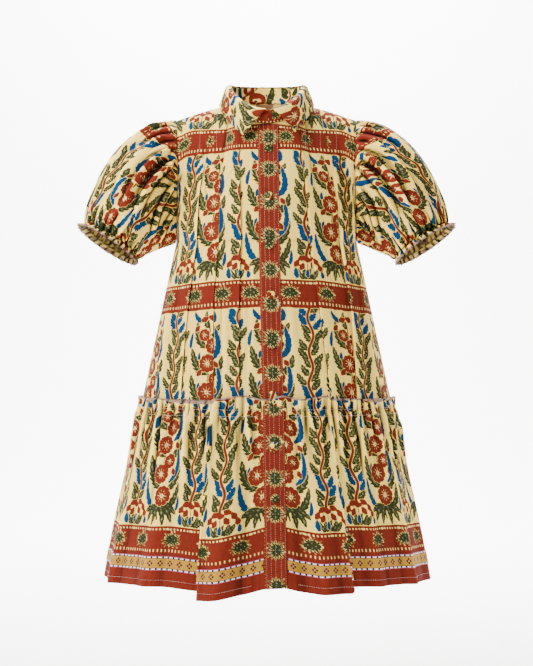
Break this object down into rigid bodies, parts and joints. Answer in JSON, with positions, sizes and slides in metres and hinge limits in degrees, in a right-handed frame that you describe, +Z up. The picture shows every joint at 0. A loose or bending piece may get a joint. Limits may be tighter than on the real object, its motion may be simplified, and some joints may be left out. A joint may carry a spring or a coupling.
{
  "type": "mini shirt dress",
  "caption": "Worn short dress with puff sleeves, shirt collar, buttoned placket, pleated body and a gathered tier at the hem.",
  "frame": {"origin": "midway between the two neck points of the shoulder seams, where the wearer's shoulders hold the dress", "axes": "+Z up along the wearer, -Y to the front, +X to the wearer's left"},
  "size_m": [0.679, 0.4785, 0.8945],
  "materials": {
    "printed_cotton": "matte",
    "placket_cotton": "matte",
    "covered_buttons": "matte",
    "ribbon": "matte"
  },
  "bodies": {
    "root": {"front_right": "printed_cotton", "front_left": "printed_cotton", "back": "printed_cotton", "collar_stand": "printed_cotton", "collar": "printed_cotton", "sleeve_right": "printed_cotton", "sleeve_left": "printed_cotton", "tier_front_right": "printed_cotton", "tier_front_left": "printed_cotton", "tier_back": "printed_cotton", "placket": "placket_cotton", "button_1": "covered_buttons", "button_2": "covered_buttons", "button_3": "covered_buttons", "button_4": "covered_buttons", "button_5": "covered_buttons", "button_6": "covered_buttons", "button_7": "covered_buttons", "button_8": "covered_buttons", "button_9": "covered_buttons", "ribbon_front_right": "ribbon", "ribbon_front_left": "ribbon", "ribbon_back": "ribbon"}
  },
  "joints": []
}
